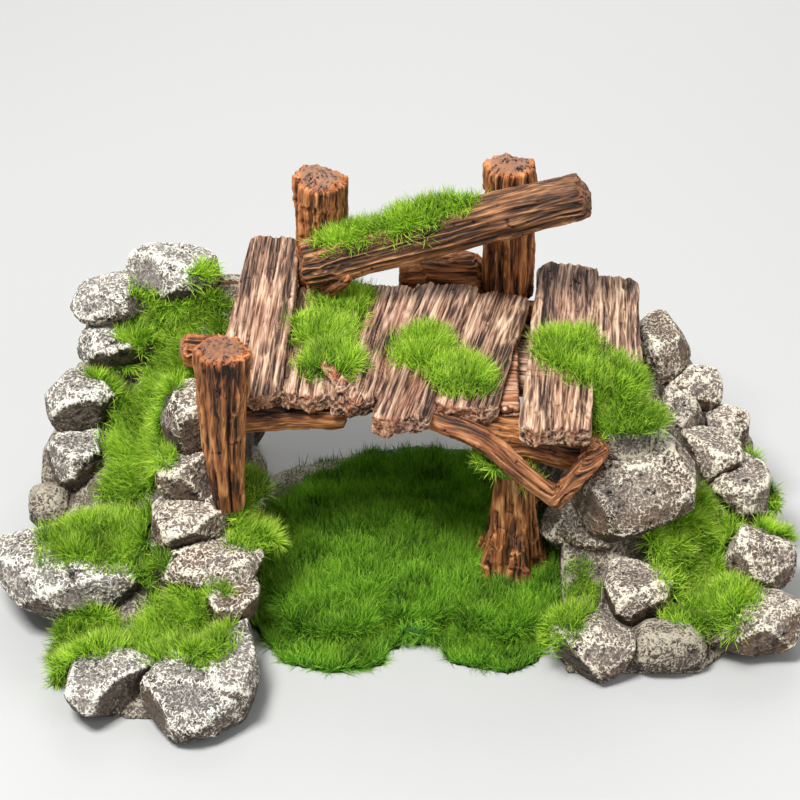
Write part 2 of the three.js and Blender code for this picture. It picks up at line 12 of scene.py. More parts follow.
import bmesh
import bpy
import numpy as np
from mathutils import Matrix, Vector
from mathutils.bvhtree import BVHTree
from mathutils.kdtree import KDTree


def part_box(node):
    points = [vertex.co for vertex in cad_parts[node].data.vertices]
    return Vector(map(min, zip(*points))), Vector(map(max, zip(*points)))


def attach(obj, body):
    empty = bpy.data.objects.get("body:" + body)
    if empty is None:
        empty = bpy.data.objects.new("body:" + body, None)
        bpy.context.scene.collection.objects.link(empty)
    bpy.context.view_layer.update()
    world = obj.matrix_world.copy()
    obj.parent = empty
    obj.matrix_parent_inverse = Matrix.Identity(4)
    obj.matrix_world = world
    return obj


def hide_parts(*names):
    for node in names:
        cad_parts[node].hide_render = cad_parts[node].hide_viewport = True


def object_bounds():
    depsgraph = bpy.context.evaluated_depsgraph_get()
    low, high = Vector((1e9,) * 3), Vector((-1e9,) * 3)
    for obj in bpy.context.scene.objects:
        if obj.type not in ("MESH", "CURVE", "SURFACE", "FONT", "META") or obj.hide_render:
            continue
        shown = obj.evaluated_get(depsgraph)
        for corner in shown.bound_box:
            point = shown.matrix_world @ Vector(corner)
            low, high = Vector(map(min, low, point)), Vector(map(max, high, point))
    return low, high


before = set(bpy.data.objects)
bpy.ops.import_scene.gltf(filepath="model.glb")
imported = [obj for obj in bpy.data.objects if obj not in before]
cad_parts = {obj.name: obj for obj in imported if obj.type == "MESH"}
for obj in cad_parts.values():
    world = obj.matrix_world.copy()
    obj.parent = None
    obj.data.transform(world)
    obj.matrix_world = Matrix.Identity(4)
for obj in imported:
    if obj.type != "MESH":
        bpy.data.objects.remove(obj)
CAD_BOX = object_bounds()
DOWN = Vector((0, 0, -1))

# Lengths in millimetres
MM = 0.001
STONE_VOXEL = 0.34  # the mesh size of each kind of piece
CORE_VOXEL = 0.5
WOOD_VOXEL = 0.25
SLAB_VOXEL = 1.2
PAD_VOXEL = 0.8
STONE_SWELL = 0.55  # stones stand this much prouder than their solids, so that they crowd together
CORE_SWELL = 0.5
FLAT_DEPTH = 2.6  # most that a flat takes off a stone
FLAT_SHARE = 0.3  # and the most as a share of the stone's reach that way
LUMP_HEIGHT = 0.24  # relief of a stone: broad lumps, its net of wrinkles, and pits
NET_HEIGHT = 0.26
PIT_DEPTH = 0.36
WOOD_SWELL = 0.4
WOOD_LUMPS = 0.2  # relief of timber besides its grooves: lumps, knots and worm holes
KNOT_HEIGHT = 0.45
HOLE_DEPTH = 0.45
END_REACH = 3.5  # how far from its ends a timber is broken
LOG_DOME = 1.1  # how far the middle of a log's end stands out
POST_SLIM = 0.25  # how much the front post's foot is drawn in, as a share
FIBRE_LENGTH = 3.5
FIBRE_HALF_WIDTH = 0.075
FIBRES_PER_MM2 = 21
FIBRES_PER_PIECE = 50000
SPILL_DENSITY = 0.8  # density of the fibres beyond the edge, as a share of the pad's
PAD_INSET = 1.3  # how far a moss pad is drawn in, so that its fibres fill the CAD pad's place
SPILL = 3.6  # how far single fibres stand beyond a pad's edge
GROUND_REACH = 4.2  # a pad that comes this near to the ground goes down to it

# How each kind of timber is carved: the depth and pitch of its grooves, its knots, and how far its ends
# are splintered. A bent one has its grain along its own middle line, and its ends are round and domed.
PLANK = {"bent": False, "groove": 0.5, "pitch": 1.0, "knot_count": 1, "splinter": 0.8}
LOG = {"bent": True, "groove": 0.8, "pitch": 1.2, "knot_count": 0, "splinter": 0.45}
TWIG = {"bent": True, "groove": 0.45, "pitch": 0.9, "knot_count": 0, "splinter": 0.4}

# Small tufts away from the pads: the solid they grow on, the spot as shares of its box, and their radius
TUFTS = {
    "left_stone_01": (0.85, 0.12, 1, 4.2),
    "left_stone_02": (0.97, 0.3, 1, 4.0),
    "left_stone_03": (0.86, 0.35, 1, 5.2),
    "left_stone_04": (0.97, 0.55, 1, 5.2),
    "left_stone_06": (0.92, 0.2, 1, 4.6),
    "left_stone_09": (0.15, 0.75, 1, 3.0),
    "left_stone_10": (0.08, 0.55, 1, 3.4),
    "left_stone_11": (0.1, 0.4, 1, 3.4),
    "left_stone_14": (0.3, 0.5, 1, 2.4),
    "right_core": (0.12, 0.23, 0.25, 7.5),
    "right_stone_06": (0.75, 0.9, 1, 2.0),
    "right_stone_09": (0.85, 0.95, 1, 5.4),
    "right_stone_12": (0.18, 0.7, 1, 7.0),
}

# The camera and the lights, in metres
CAMERA_ELEVATION = math.radians(35)
CAMERA_DISTANCE = 0.65
CAMERA_LENS = 128.7
CAMERA_AIM = (0.001, 0.0145, 0.040)  # X and Y from the middle of the box, Z from the floor
LIGHTS = {  # place, size and power
    "key": ((-0.25, -0.25, 0.8), 0.26, 8.9),
    "fill": ((0.6, -0.5, 0.45), 0.6, 1.9),
    "back": ((0.1, 0.65, 0.5), 0.5, 2.6),
}
WORLD_COLOUR = (0.85, 0.88, 0.92, 1)
WORLD_STRENGTH = 0.32
FLOOR_SIZE = 6.0
FLOOR_DROP = 0.0002  # keeps the floor just clear of the ornament's underside


# ---- Numbers without chance: noise that is the same on every run ----

def cell_random(cells, salt):
    """One fixed number from 0 to 1 for each whole-number cell."""
    whole = cells.astype(np.int64).astype(np.uint32)
    mixed = whole[:, 0] * np.uint32(374761393) + whole[:, 1] * np.uint32(668265263)
    mixed += whole[:, 2] * np.uint32(2246822519) + np.uint32(salt * 97531 % 2**32)
    mixed = (mixed ^ (mixed >> np.uint32(13))) * np.uint32(1274126177)
    mixed ^= mixed >> np.uint32(16)
    return mixed / 2.0**32


def noise(points, size, salt):
    """Smooth noise from -1 to 1 with blobs about size across. size may differ along each axis."""
    scaled = points / size
    base = np.floor(scaled)
    part = scaled - base
    ease = part * part * (3 - 2 * part)
    total = np.zeros(len(points))
    for corner in itertools.product((0, 1), repeat=3):
        weight = np.prod(np.where(corner, ease, 1 - ease), axis=1)
        total += weight * cell_random(base + corner, salt)
    return 2 * total - 1


def fractal(points, size, salt, octaves=3):
    """Noise with finer and weaker layers on top, from about -1 to 1."""
    layers = [noise(points, np.asarray(size) / 2**k, salt + k) / 2**k for k in range(octaves)]
    return sum(layers) / (2 - 2 / 2**octaves)


def smoothstep(low, high, value):
    share = np.clip((value - low) / (high - low), 0, 1)
    return share * share * (3 - 2 * share)


def salt_of(name):
    """A fixed number for a name."""
    return sum((place + 1) * ord(letter) for place, letter in enumerate(name)) % 9973


# ---- Meshes as arrays ----

def welded_copy(node):
    """A copy of a CAD node's mesh in millimetres with its shared corners joined."""
    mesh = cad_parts[node].data.copy()
    mesh.transform(Matrix.Scale(1 / MM, 4))
    work = bmesh.new()
    work.from_mesh(mesh)
    bmesh.ops.remove_doubles(work, verts=work.verts, dist=0.001)
    work.to_mesh(mesh)
    work.free()
    mesh.materials.clear()
    return mesh


def dense_mesh(node, voxel, smoothing):
    """The node's shape as an even fine mesh with softened edges, in millimetres."""
    holder = bpy.data.objects.new("holder", welded_copy(node))
    bpy.context.scene.collection.objects.link(holder)
    remesh = holder.modifiers.new("remesh", "REMESH")
    remesh.mode = "VOXEL"
    remesh.voxel_size = voxel
    if smoothing:
        smooth = holder.modifiers.new("smooth", "SMOOTH")
        smooth.factor = 0.5
        smooth.iterations = smoothing
    shaped = holder.evaluated_get(bpy.context.evaluated_depsgraph_get())
    mesh = bpy.data.meshes.new_from_object(shaped)
    bpy.data.objects.remove(holder)
    return mesh


def points_of(mesh):
    values = np.empty(len(mesh.vertices) * 3)
    mesh.vertices.foreach_get("co", values)
    return values.reshape(-1, 3)


def normals_of(mesh):
    values = np.empty(len(mesh.vertices) * 3, np.float32)
    mesh.vertex_normals.foreach_get("vector", values)
    return values.reshape(-1, 3).astype(float)


def set_points(mesh, points):
    mesh.vertices.foreach_set("co", points.astype(np.float32).ravel())
    mesh.update()


def set_value(mesh, name, values):
    """Stores one number, or one vector, for each vertex, for the materials to read."""
    kind = "FLOAT" if values.ndim == 1 else "FLOAT_VECTOR"
    layer = mesh.attributes.new(name, kind, "POINT")
    layer.data.foreach_set("value" if values.ndim == 1 else "vector", values.astype(np.float32).ravel())


def averaged(mesh, values, rounds):
    """Values of each vertex blended with its neighbours' this many times."""
    ends = np.empty(len(mesh.edges) * 2, np.int32)
    mesh.edges.foreach_get("vertices", ends)
    first, second = ends.reshape(-1, 2).T
    size = len(mesh.vertices)
    count = np.bincount(first, minlength=size) + np.bincount(second, minlength=size)
    for _ in range(rounds):
        columns = [
            np.bincount(first, column[second], size) + np.bincount(second, column[first], size)
            for column in values.T
        ]
        values = np.stack(columns, axis=1) / count[:, None]
    return values


def convexity(mesh, rounds):
    """How far each vertex stands out from the middle of its surroundings, in millimetres."""
    points = points_of(mesh)
    return ((points - averaged(mesh, points, rounds)) * normals_of(mesh)).sum(axis=1)


def finish_piece(mesh, node, material, name=None):
    """Makes a mesh a piece that rides on the body, in metres and nowhere below the floor.

    The piece stands for its node, if it has one."""
    points = points_of(mesh)
    points[:, 2] = np.maximum(points[:, 2], 0)
    set_points(mesh, points * MM)
    mesh.shade_smooth()
    mesh.materials.append(material)
    piece = bpy.data.objects.new((name or node) + "_surface", mesh)
    bpy.context.scene.collection.objects.link(piece)
    if node:
        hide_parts(node)
    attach(piece, "root")
    return piece


# ---- Materials ----

def linear(*rgb):
    """An sRGB colour in 0 to 255 as the linear colour that a shader takes."""
    shares = [value / 255 for value in rgb]
    curve = [s / 12.92 if s <= 0.04045 else ((s + 0.055) / 1.055) ** 2.4 for s in shares]
    return (*curve, 1.0)


class Shader:
    """A material's node tree, with short calls to add nodes and join them."""

    def __init__(self, name):
        self.material = bpy.data.materials.new(name)
        self.material.use_nodes = True
        self.tree = self.material.node_tree
        self.surface = self.tree.nodes["Principled BSDF"]

    def put(self, target, value):
        if isinstance(value, bpy.types.NodeSocket):
            self.tree.links.new(value, target)
        else:
            target.default_value = value

    def add(self, kind, inputs=None, **settings):
        made = self.tree.nodes.new(kind)
        for key, value in settings.items():
            setattr(made, key, value)
        for key, value in (inputs or {}).items():
            self.put(made.inputs[key], value)
        return made

    def attribute(self, name, output="Fac"):
        return self.add("ShaderNodeAttribute", attribute_name=name).outputs[output]

    def math(self, operation, first, second=0.0, clamp=False):
        inputs = {0: first, 1: second}
        return self.add("ShaderNodeMath", inputs, operation=operation, use_clamp=clamp).outputs[0]

    def total(self, *pairs):
        """The sum of values, each times its weight."""
        terms = [self.math("MULTIPLY", value, weight) for value, weight in pairs]
        return functools.reduce(lambda first, second: self.math("ADD", first, second), terms)

    def stretch(self, value, start, gain):
        """How far a value is above a start, times a gain, kept between 0 and 1."""
        return self.math("MULTIPLY", self.math("SUBTRACT", value, start), gain, clamp=True)

    def lines(self, value, gain):
        """1 where a noise crosses its middle and 0 away from there. More gain makes thinner lines."""
        away = self.math("ABSOLUTE", self.math("SUBTRACT", value, 0.5))
        return self.math("SUBTRACT", 1.0, self.math("MULTIPLY", away, gain, clamp=True))

    def blend(self, share, first, second, mode="MIX"):
        inputs = {0: share, 6: first, 7: second}
        return self.add("ShaderNodeMix", inputs, data_type="RGBA", blend_type=mode).outputs[2]

    def ramp(self, value, stops):
        """Colours along a value, as (place, colour) pairs."""
        made = self.add("ShaderNodeValToRGB", {0: value})
        ramp = made.color_ramp
        while len(ramp.elements) < len(stops):
            ramp.elements.new(0.5)
        for element, (place, colour) in zip(ramp.elements, stops):
            element.position = place
            element.color = colour
        return made.outputs[0]

    def noise(self, vector, scale, detail=4.0, roughness=0.6):
        inputs = {"Vector": vector, "Scale": scale, "Detail": detail, "Roughness": roughness}
        return self.add("ShaderNodeTexNoise", inputs).outputs[0]

    def bump(self, height, strength, distance):
        made = self.add("ShaderNodeBump", {"Height": height, "Strength": strength, "Distance": distance})
        self.put(self.surface.inputs["Normal"], made.outputs[0])

    def finish(self, colour, roughness):
        self.put(self.surface.inputs["Base Color"], colour)
        self.put(self.surface.inputs["Roughness"], roughness)
        return self.material


def stone_material(name, pit_wash_and_shade, body, stained, brushed):
    """Painted cast stone: a dark wash in the pits and painted shade on the undersides, and pale paint
    dry-brushed over ridges and edges.
    """
    shader = Shader(name)
    place = shader.add("ShaderNodeTexCoord").outputs["Object"]
    veins = shader.lines(shader.noise(place, 980.0, 2.0, 0.5), 12.0)
    specks = shader.stretch(shader.noise(place, 1350.0, 1.0), 0.56, 9.0)
    grit = shader.noise(place, 2300.0, 2.0)
    blotch = shader.noise(place, 190.0, 3.0)
    relief, net, proud_and_shade = (shader.attribute(name) for name in ("relief", "net", "proud_and_shade"))
    height = shader.total((relief, 0.7), (veins, 0.14), (grit, 0.2), (specks, -0.16))
    # Browner where the stain value is high: at random, and on the sides and undersides.
    rock = shader.blend(shader.attribute("stain"), body, stained)
    # Low relief takes the dark colour: the wash in the pits, and painted shade on the undersides.
    colour = shader.blend(shader.stretch(height, 0.22, 3.4), pit_wash_and_shade, rock)
    paint = shader.total((proud_and_shade, 1.15), (veins, 0.62), (net, 0.3), (blotch, 0.5), (specks, -0.5))
    colour = shader.blend(shader.stretch(paint, 1.33, 2.3), colour, brushed)
    shader.bump(height, 0.6, 0.0004)
    return shader.finish(colour, shader.math("ADD", 0.55, shader.math("MULTIPLY", grit, 0.35)))


def wood_material(name, groove, body, ridge, crest, broken, cap, wash):
    """Painted cast timber: dark grooves, lighter ridges, bare orange wood where it is split."""
    shader = Shader(name)
    grain = shader.attribute("grain", "Vector")
    drawn_out = shader.add("ShaderNodeMapping", {"Vector": grain, "Scale": (0.07, 1.0, 1.0)}).outputs[0]
    strands = shader.lines(shader.noise(drawn_out, 1.5, 2.0, 0.5), 8.5)
    height = shader.total((shader.attribute("relief"), 0.68), (strands, 0.34))
    colour = shader.ramp(height, [(0.16, groove), (0.4, body), (0.62, ridge), (0.95, crest)])
    tinted = shader.ramp(height, [(0.12, groove), (0.4, broken), (0.95, crest)])
    colour = shader.blend(shader.attribute("split"), colour, tinted)
    ends = shader.ramp(height, [(0.15, groove), (0.45, cap), (0.9, ridge)])
    colour = shader.blend(shader.math("MULTIPLY", shader.attribute("cap"), 0.85), colour, ends)
    stained = shader.math("MULTIPLY", shader.attribute("stain"), 0.7)
    colour = shader.blend(stained, colour, wash, "MULTIPLY")
    shader.bump(height, 0.5, 0.0003)
    return shader.finish(colour, shader.math("SUBTRACT", 0.8, shader.math("MULTIPLY", height, 0.2)))


DARK_TONE = linear(80, 112, 60)
MIDDLE_TONE = linear(208, 222, 180)
LIGHT_TONE = linear(255, 255, 236)


def moss_material(name, root, middle, tip):
    """Flock fibres: painted shade at the root and a painted highlight at the tip, with a tone for each
    fibre.

    The fibre's tone and the height along it are its UV coordinates, so the colour is one small table."""
    shader = Shader(name)
    place = shader.add("ShaderNodeUVMap", uv_map="OFBake").outputs[0]
    parts = shader.add("ShaderNodeSeparateXYZ", {0: place})
    tone, height = parts.outputs[0], parts.outputs[1]
    # Dark at the root as painted shade deep in the flock, pale at the tip as a painted highlight.
    colour = shader.ramp(height, [(0.05, root), (0.5, middle), (0.98, tip)])
    tints = shader.ramp(tone, [(0.0, DARK_TONE), (0.5, MIDDLE_TONE), (1.0, LIGHT_TONE)])
    colour = shader.blend(1.0, colour, tints, "MULTIPLY")
    return shader.finish(colour, 0.75)


GREY_STONE = stone_material(
    "grey_stone",
    pit_wash_and_shade=linear(26, 23, 21),
    body=linear(134, 126, 118),
    stained=linear(100, 80, 62),
    brushed=linear(244, 239, 224),
)
WARM_STONE = stone_material(
    "warm_stone",
    pit_wash_and_shade=linear(30, 24, 19),
    body=linear(132, 118, 108),
    stained=linear(108, 82, 58),
    brushed=linear(242, 231, 208),
)
# A darker, less brushed copy of the stone for the cores and the base slab; its darker body is painted
# shade in the gaps between the stones.
SHADED_FILL_STONE = stone_material(
    "shaded_fill_stone",
    pit_wash_and_shade=linear(28, 23, 19),
    body=linear(108, 96, 86),
    stained=linear(84, 64, 47),
    brushed=linear(186, 176, 154),
)
DECK_WOOD = wood_material(
    "deck_wood",
    groove=linear(36, 23, 18),
    body=linear(126, 93, 73),
    ridge=linear(192, 154, 124),
    crest=linear(242, 214, 184),
    broken=linear(168, 98, 52),
    cap=linear(142, 86, 52),
    wash=linear(214, 196, 200),
)
LOG_WOOD = wood_material(
    "log_wood",
    groove=linear(30, 16, 8),
    body=linear(114, 69, 36),
    ridge=linear(172, 108, 57),
    crest=linear(224, 164, 105),
    broken=linear(184, 100, 48),
    cap=linear(156, 122, 104),
    wash=linear(214, 196, 178),
)
# A darker copy of the log wood for the handrail: painted shade, since its front face is turned from the
# light above.
SHADED_RAIL_WOOD = wood_material(
    "shaded_rail_wood",
    groove=linear(24, 13, 8),
    body=linear(80, 50, 30),
    ridge=linear(134, 88, 52),
    crest=linear(208, 152, 102),
    broken=linear(168, 96, 48),
    cap=linear(120, 92, 74),
    wash=linear(206, 192, 180),
)
SPLIT_WOOD = wood_material(
    "split_wood",
    groove=linear(42, 24, 14),
    body=linear(114, 71, 41),
    ridge=linear(168, 106, 62),
    crest=linear(216, 158, 108),
    broken=linear(198, 110, 60),
    cap=linear(176, 100, 56),
    wash=linear(214, 190, 170),
)
# Each moss's root colour is painted shade deep in the flock, and its tip colour a painted highlight.
BRIGHT_MOSS = moss_material(
    "bright_moss",
    root=linear(54, 108, 6),
    middle=linear(182, 234, 26),
    tip=linear(236, 252, 120),
)
# A darker copy of the moss for the floor pad: painted shade for the floor beneath the deck.
PAINTED_SHADE_MOSS = moss_material(
    "painted_shade_moss",
    root=linear(24, 66, 6),
    middle=linear(120, 196, 26),
    tip=linear(202, 240, 88),
)


# ---- Stone ----

def knock_flats(points, salt, count):
    """Breaks a broad flat top and a few sides off a stone."""
    chooser = np.random.default_rng(salt)
    middle = (points.min(axis=0) + points.max(axis=0)) / 2
    tops = chooser.normal(size=(1, 3)) * 0.12 + np.array([0, 0, 1])
    sides = chooser.normal(size=(count, 3)) * np.array([1, 1, 0.45])
    for way in unit(np.concatenate([tops, sides])):
        reach = (points - middle) @ way
        depth = min(FLAT_DEPTH, FLAT_SHARE * reach.max()) * chooser.uniform(0.5, 1)
        over = np.maximum(0, reach - reach.max() + depth)
        points = points - np.outer(0.92 * over, way)
    return points


def lace(points, size, salt):
    """A net of raised wrinkles, from 0 between them to 1 on them."""
    sway = np.stack([noise(points, 1.4 * size, salt + k) for k in range(3)], axis=1)
    warped = points + 0.45 * size * sway
    coarse = 1 - smoothstep(0.0, 0.3, np.abs(noise(warped, size, salt + 3)))
    fine = 1 - smoothstep(0.0, 0.34, np.abs(noise(warped, 0.55 * size, salt + 4)))
    return np.maximum(coarse, 0.8 * fine)


def stone_surface(node, voxel, material, flats=9, swell=STONE_SWELL, smoothing=3):
    """Weathered stone: broken flats, a net of raised wrinkles and small pits.

    It stores what the paint follows: relief, lowered on the undersides as painted shade; net; how far
    each spot stands out, with more pale paint on edges and tops and less on the undersides as painted
    shade; and brown stains, which are also browner and darker on the sides and undersides."""
    mesh = dense_mesh(node, voxel, smoothing)
    salt = salt_of(node)
    if flats:
        set_points(mesh, averaged(mesh, knock_flats(points_of(mesh), salt, flats), 1))
    points = points_of(mesh)
    normals = normals_of(mesh)
    edges = np.clip(convexity(mesh, 12) / 0.16, -1, 1)
    lumps = fractal(points, 5.5, salt + 31)
    net = lace(points, 1.9, salt + 23) * smoothstep(-0.6, 0.2, noise(points, 6.0, salt + 29))
    pits = smoothstep(0.35, 0.7, fractal(points, 1.7, salt + 41, 2))
    height = LUMP_HEIGHT * lumps + NET_HEIGHT * net - PIT_DEPTH * pits + swell
    set_points(mesh, points + normals * height[:, None])
    upward = normals[:, 2]
    # Faces that look down get painted shade: a lower relief, which takes the dark colour, and less pale
    # paint.
    painted_underside_shade = smoothstep(0.25, -0.45, upward)
    relief = 0.46 + 0.26 * net - 0.34 * pits + 0.16 * lumps - 0.26 * painted_underside_shade
    brown = fractal(points, 9.0, salt + 61)
    # Brown stains at random, and browner and darker on the sides and undersides, by which way each face
    # looks.
    stain = 0.7 * smoothstep(0.0, 0.6, brown) + 0.75 * smoothstep(0.55, -0.2, upward)
    set_value(mesh, "relief", np.clip(relief, 0, 1))
    set_value(mesh, "net", net)
    # Pale paint on edges and tops, and less of it on the undersides as painted shade.
    set_value(mesh, "proud_and_shade", np.clip(0.5 + 0.42 * edges + 0.17 * upward - 0.28 * painted_underside_shade, 0, 1))
    set_value(mesh, "stain", np.clip(stain, 0, 1))
    return finish_piece(mesh, node, material)


# ---- Timber ----

def grain_frame(points, bent):
    """Coordinates along and across a length of timber, in millimetres.

    The grain runs along the piece's longest direction, and on a bent piece round its own middle line."""
    centre = points.mean(axis=0)
    _, axes = np.linalg.eigh(np.cov((points - centre).T))
    local = (points - centre) @ axes[:, ::-1]
    if bent:
        bins = 24
        along = local[:, 0]
        edges = np.linspace(along.min(), along.max(), bins + 1)
        which = np.clip(np.digitize(along, edges) - 1, 0, bins - 1)
        counts = np.maximum(np.bincount(which, minlength=bins), 1)
        middle = (edges[:-1] + edges[1:]) / 2
        for side in (1, 2):
            mean = np.bincount(which, weights=local[:, side], minlength=bins) / counts
            local[:, side] -= np.interp(along, middle, mean)
    return local


def crease(values, width):
    """1 where noise crosses nought and 0 away from there: long narrow lines."""
    return 1 - smoothstep(0.0, width, np.abs(values))


def spread(local):
    """How far each point lies from the middle line of a log, as a share of the log's radius."""
    away = np.hypot(local[:, 1], local[:, 2])
    return np.minimum(away / np.percentile(away, 90), 1)


def slim_foot(points, share):
    """A standing log's points drawn towards its middle line, more and more down to its foot."""
    height = points[:, 2]
    down = (height.max() - height) / np.ptp(height)
    slim = points.copy()
    for side in (0, 1):
        middle = np.polyval(np.polyfit(height, points[:, side], 1), height)
        slim[:, side] = middle + (points[:, side] - middle) * (1 - share * down)
    return slim


def splinter_ends(local, salt, reach, depth, dome):
    """How far each point moves along the grain to leave the ends domed and broken along their fibres."""
    along = local[:, 0]
    half = (along.max() - along.min()) / 2
    middle = (along.max() + along.min()) / 2
    towards = np.sign(along - middle)
    near_end = smoothstep(half - reach, half, np.abs(along - middle))
    fibres = local * np.array([0.02, 1.0, 1.0])
    lengths = depth * (noise(fibres, 1.5, salt) + 0.6 * noise(fibres, 0.8, salt + 1))
    lengths += dome * (1 - spread(local) ** 2)
    return towards * near_end * lengths, near_end


def knots(local, salt, count, span):
    """Raised rings with a hollow middle, where branches grew."""
    chooser = np.random.default_rng(salt)
    total = np.zeros(len(local))
    for _ in range(count):
        spot = chooser.uniform(-1, 1, 2) * span
        size = chooser.uniform(0.9, 1.5)
        away = np.hypot((local[:, 0] - spot[0]) * 0.6, local[:, 1] - spot[1]) / size
        total += np.exp(-(((away - 1.3) / 0.4) ** 2)) * 0.5 - np.exp(-(away**2)) * 1.0
    return total


def wood_surface(node, material, slot, bent, groove, pitch, knot_count, splinter, slim=0.0):
    """Split timber: deep grooves along the grain, knots, worm holes and broken ends.

    It stores what the paint follows: relief, grain, end caps, split orange wood and stains."""
    mesh = dense_mesh(node, WOOD_VOXEL, 2)
    if slim:
        set_points(mesh, slim_foot(points_of(mesh), slim))
    points = points_of(mesh)
    normals = normals_of(mesh)
    salt = salt_of(node)
    local = grain_frame(points, bent)
    sway = 0.9 * fractal(local * np.array([0.35, 1, 1]), 6.0, salt + 3)
    swayed = local + np.stack([np.zeros(len(local)), sway, 0.6 * sway], axis=1)
    grain = swayed * np.array([0.045, 1.0, 1.0])
    ridges = crease(noise(grain, pitch, salt + 7), 0.5)
    threads = crease(noise(grain, 0.62 * pitch, salt + 8), 0.55)
    broken_up = smoothstep(-0.4, 0.3, noise(grain, 5.0, salt + 10))
    cracks = crease(noise(grain, 3.2 * pitch, salt + 9), 0.1) * broken_up
    lumps = fractal(points, 6.0, salt + 13)
    span = np.abs(local).max(axis=0)[:2] * np.array([0.75, 0.55])
    rings = knots(local, salt, knot_count, span)
    holes = smoothstep(0.66, 0.9, noise(points, 1.1, salt + 17))
    if bent:
        splinters = np.zeros(len(local))
        rim = smoothstep(0.7, 0.95, spread(local))
        dome = LOG_DOME
    else:
        thickness = np.percentile(np.abs(local[:, 2]), 85)
        splinters = smoothstep(1.3, 1.7, np.abs(local[:, 2]) / thickness)
        rim = np.zeros(len(local))
        dome = 0.0
    shift, near_end = splinter_ends(local, salt + 19, END_REACH, splinter, dome)
    direction = np.linalg.lstsq(local - local.mean(0), points - points.mean(0), rcond=None)[0][0]
    direction /= np.linalg.norm(direction)
    end_face = near_end * smoothstep(0.55, 0.9, np.abs(normals @ direction))
    height = groove * (0.75 * ridges + 0.5 * threads - 0.9 * cracks - 0.5)
    height += WOOD_LUMPS * lumps + KNOT_HEIGHT * rings - HOLE_DEPTH * holes
    height = height * (1 - 0.85 * splinters) + WOOD_SWELL
    height *= 1 - 0.4 * near_end - 0.45 * end_face
    set_points(mesh, points + normals * height[:, None] + np.outer(shift, direction))
    relief = 0.12 + 0.5 * ridges + 0.34 * threads - 0.5 * cracks
    relief = relief + 0.12 * lumps - 0.4 * holes + 0.2 * rings
    worn = smoothstep(0.4, 1.0, near_end) * smoothstep(-0.6, 0.4, fractal(points, 4.0, salt + 23))
    streaks = smoothstep(0.25, 0.8, noise(grain, 2.6, salt + 29))
    split = 0.85 * worn + 0.3 * streaks + splinters + end_face * rim
    set_value(mesh, "relief", np.clip(relief, 0, 1))
    set_value(mesh, "grain", local)
    set_value(mesh, "cap", end_face * (1 - rim))
    set_value(mesh, "split", np.clip(split, 0, 1))
    set_value(mesh, "stain", smoothstep(-0.2, 0.6, fractal(points, 10.0, salt + 31)))
    return finish_piece(mesh, node, material)


# ---- Moss ----

def solids_tree(nodes):
    """All the hard solids as one tree for ray tests, in millimetres."""
    corners, faces, start = [], [], 0
    for node in nodes:
        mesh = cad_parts[node].data
        mesh.calc_loop_triangles()
        corners.extend(vertex.co / MM for vertex in mesh.vertices)
        faces.extend(tuple(start + i for i in triangle.vertices) for triangle in mesh.loop_triangles)
        start += len(mesh.vertices)
    return BVHTree.FromPolygons(corners, faces)


def seed_points(mesh, density, chooser):
    """Points spread evenly over the faces that look up or sideways, with the faces' smoothed normals."""
    mesh.calc_loop_triangles()
    corners = np.empty(len(mesh.loop_triangles) * 3, np.int32)
    mesh.loop_triangles.foreach_get("vertices", corners)
    corners = corners.reshape(-1, 3)
    points = points_of(mesh)
    normals = normals_of(mesh)
    a, b, c = (points[corners[:, k]] for k in range(3))
    across = np.cross(b - a, c - a)
    area = np.linalg.norm(across, axis=1) / 2
    upward = across[:, 2] / np.maximum(2 * area, 1e-9)
    area = area * (upward > -0.25)
    count = int(area.sum() * density)
    face = chooser.choice(len(area), size=count, p=area / area.sum())
    u, v = chooser.random(count), chooser.random(count)
    fold = u + v > 1
    u, v = np.where(fold, 1 - u, u), np.where(fold, 1 - v, v)
    shares = np.stack([1 - u - v, u, v], axis=1)
    place = sum(shares[:, k, None] * points[corners[face, k]] for k in range(3))
    normal = sum(shares[:, k, None] * normals[corners[face, k]] for k in range(3))
    return place, normal / np.linalg.norm(normal, axis=1)[:, None]


def unit(vectors):
    return vectors / np.maximum(np.linalg.norm(vectors, axis=1), 1e-9)[:, None]


def clear_of(tree, place, direction, reach):
    """Which fibres stand in free air."""
    hits = [tree.ray_cast(Vector(start), Vector(way), reach)[0] for start, way in zip(place, direction)]
    return np.array([hit is None for hit in hits])


def fibre_mesh(place, direction, lengths, tones, chooser):
    """Tapered blades of three triangles, each leaning and bending its own way."""
    count = len(place)
    side = unit(np.cross(direction, unit(chooser.normal(size=(count, 3)))))
    bend = unit(np.cross(direction, side)) * (lengths * chooser.uniform(-0.35, 0.35, count))[:, None]
    reach = direction * lengths[:, None]
    foot, waist = side * FIBRE_HALF_WIDTH, side * FIBRE_HALF_WIDTH * 0.8
    middle = place + 0.55 * reach + 0.3 * bend
    tip = place + reach + bend
    corners = np.stack([place - foot, place + foot, middle + waist, middle - waist, tip], axis=1)
    pattern = np.array([[0, 1, 2], [0, 2, 3], [3, 2, 4]])
    faces = (np.arange(count)[:, None, None] * 5 + pattern).reshape(-1, 3)
    # The height along each blade, which the moss material turns into painted shade at the root and a
    # painted highlight at the tip.
    heights = np.tile([0.1, 0.1, 0.6, 0.6, 1.0], count)
    return corners.reshape(-1, 3), faces, np.repeat(tones, 5), heights


def mesh_from(name, points, faces):
    mesh = bpy.data.meshes.new(name)
    mesh.vertices.add(len(points))
    mesh.vertices.foreach_set("co", points.astype(np.float32).ravel())
    mesh.loops.add(faces.size)
    mesh.loops.foreach_set("vertex_index", faces.astype(np.int32).ravel())
    mesh.polygons.add(len(faces))
    mesh.polygons.foreach_set("loop_start", np.arange(0, faces.size, 3, dtype=np.int32))
    mesh.update(calc_edges=True)
    return mesh


